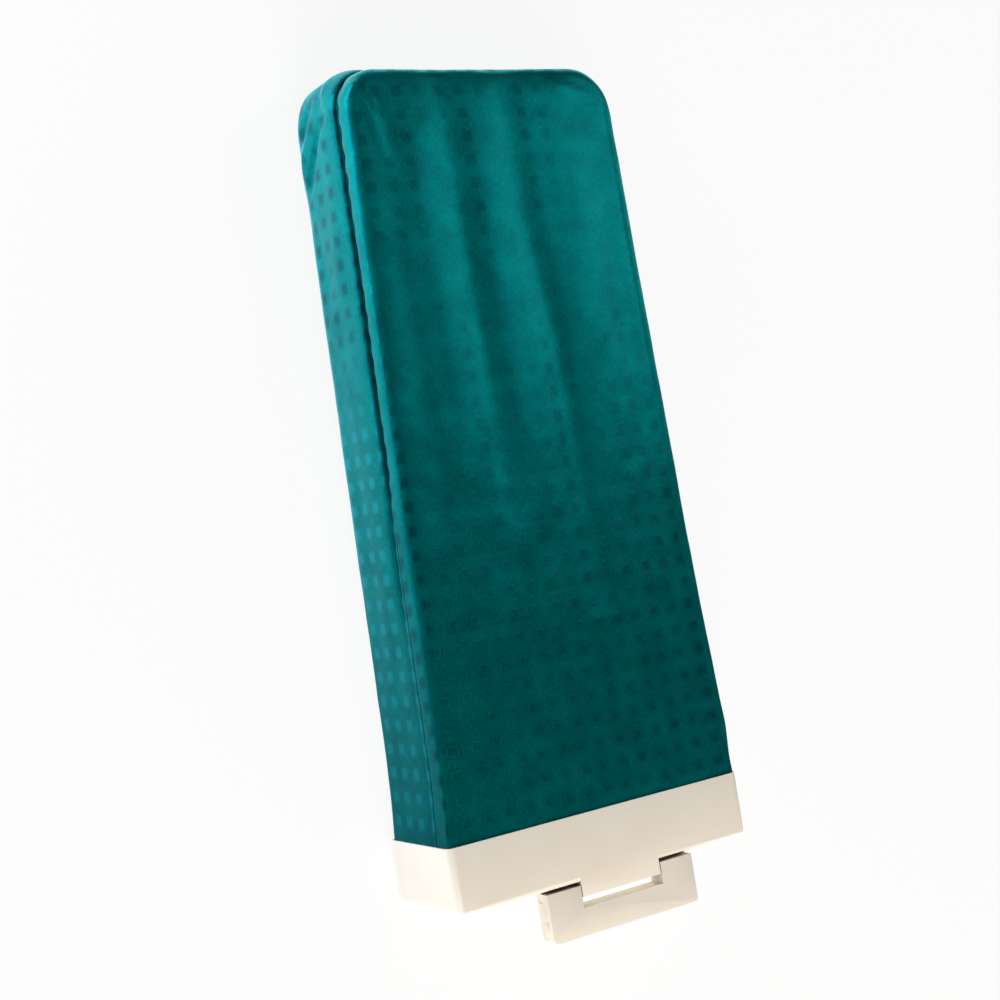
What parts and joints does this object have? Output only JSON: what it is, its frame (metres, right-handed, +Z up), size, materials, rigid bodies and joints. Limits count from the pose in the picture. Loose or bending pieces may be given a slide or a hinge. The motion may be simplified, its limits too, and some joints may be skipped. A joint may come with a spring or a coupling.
{
  "type": "sleeve ironing board",
  "caption": "Tapered padded sleeve ironing board in a teal fabric cover, with a moulded end cap and a folding slotted leaf on a hinge pin.",
  "frame": {"origin": "centre of the box's underside, on the surface that the board rests on", "axes": "+Z up out of the ironing face, +Y along the board towards its nose, +X across it"},
  "size_m": [0.151, 0.3746, 0.0535],
  "materials": {
    "cap_plastic": "moulded, fine satin",
    "zinc_steel": "zinc plated",
    "brass_fitting": "turned",
    "sheet_steel": "galvanised sheet",
    "foam": "open-cell foam",
    "felt": "needled felt",
    "cover_cloth": "satin with small woven squares",
    "elastic": "flat braided elastic"
  },
  "bodies": {
    "board": {"end_cap": "cap_plastic", "cap_screws": "zinc_steel", "rivet_nuts": "brass_fitting", "base_bulkhead": "sheet_steel", "bottom_pan": "sheet_steel", "ironing_plate": "sheet_steel", "plate_rivets": "zinc_steel", "centre_channel": "sheet_steel", "middle_braces": "sheet_steel", "nose_braces": "sheet_steel", "foam_pad": "foam", "side_foam": "foam", "felt_wrap": "felt", "cover_top": "cover_cloth", "cover_band": "cover_cloth", "cover_hem": "cover_cloth", "hem_elastic": "elastic"},
    "leaf": {"hinge_leaf": "cap_plastic", "hinge_pin": "zinc_steel", "pin_plugs": "cap_plastic", "friction_washers": "zinc_steel"}
  },
  "joints": [
    {"name": "leaf_hinge", "type": "hinge", "parent": "board", "child": "leaf", "pos_m": [0.0052, -0.16865, 0.0476], "axis": [1, 0, 0], "range_deg": [-10, 90]}
  ]
}
